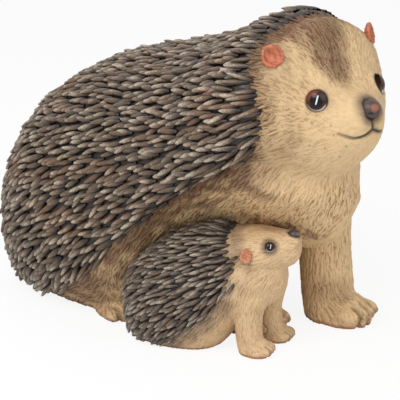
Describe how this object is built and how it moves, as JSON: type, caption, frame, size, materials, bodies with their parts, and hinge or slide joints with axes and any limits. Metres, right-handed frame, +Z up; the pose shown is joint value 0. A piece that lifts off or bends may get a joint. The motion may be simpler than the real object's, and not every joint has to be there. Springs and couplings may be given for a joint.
{
  "type": "hedgehog figurine",
  "caption": "Garden figurine of a hedgehog sitting up on straight forelegs with her young one pressed against her flank, both under coats of raised quills.",
  "frame": {"origin": "middle of the figure's bounding box, on the ground it stands on", "axes": "+X the way the mother's body faces, +Y to her left, +Z up"},
  "size_m": [0.2559, 0.1528, 0.183],
  "materials": {
    "mother_fur": "hand-painted cast resin, tan with a brown wash, matt",
    "mother_quills": "hand-painted cast resin, dark brown with pale dry-brushed tips",
    "mother_skin": "painted terracotta pink, matt",
    "young_fur": "hand-painted cast resin, tan, matt",
    "young_quills": "hand-painted cast resin, blue-grey with pale tips",
    "young_skin": "painted salmon pink, matt",
    "eyes": "gloss black paint",
    "noses": "satin dark brown paint"
  },
  "bodies": {
    "root": {"mother_body": "mother_fur", "mother_head": "mother_fur", "mother_rump_quills": "mother_quills", "mother_back_quills": "mother_quills", "mother_shoulder_quills": "mother_quills", "mother_crown_quills": "mother_quills", "mother_left_ear": "mother_skin", "mother_right_ear": "mother_skin", "mother_left_eye": "eyes", "mother_right_eye": "eyes", "mother_nose": "noses", "mother_left_foreleg": "mother_fur", "mother_right_foreleg": "mother_fur", "mother_left_hind_foot": "mother_fur", "mother_right_hind_foot": "mother_fur", "baby_body": "young_fur", "baby_head": "young_fur", "baby_quill_coat": "young_quills", "baby_left_ear": "young_skin", "baby_right_ear": "young_skin", "baby_left_eye": "eyes", "baby_right_eye": "eyes", "baby_nose": "noses", "baby_left_foreleg": "young_fur", "baby_right_foreleg": "young_fur"}
  },
  "joints": []
}
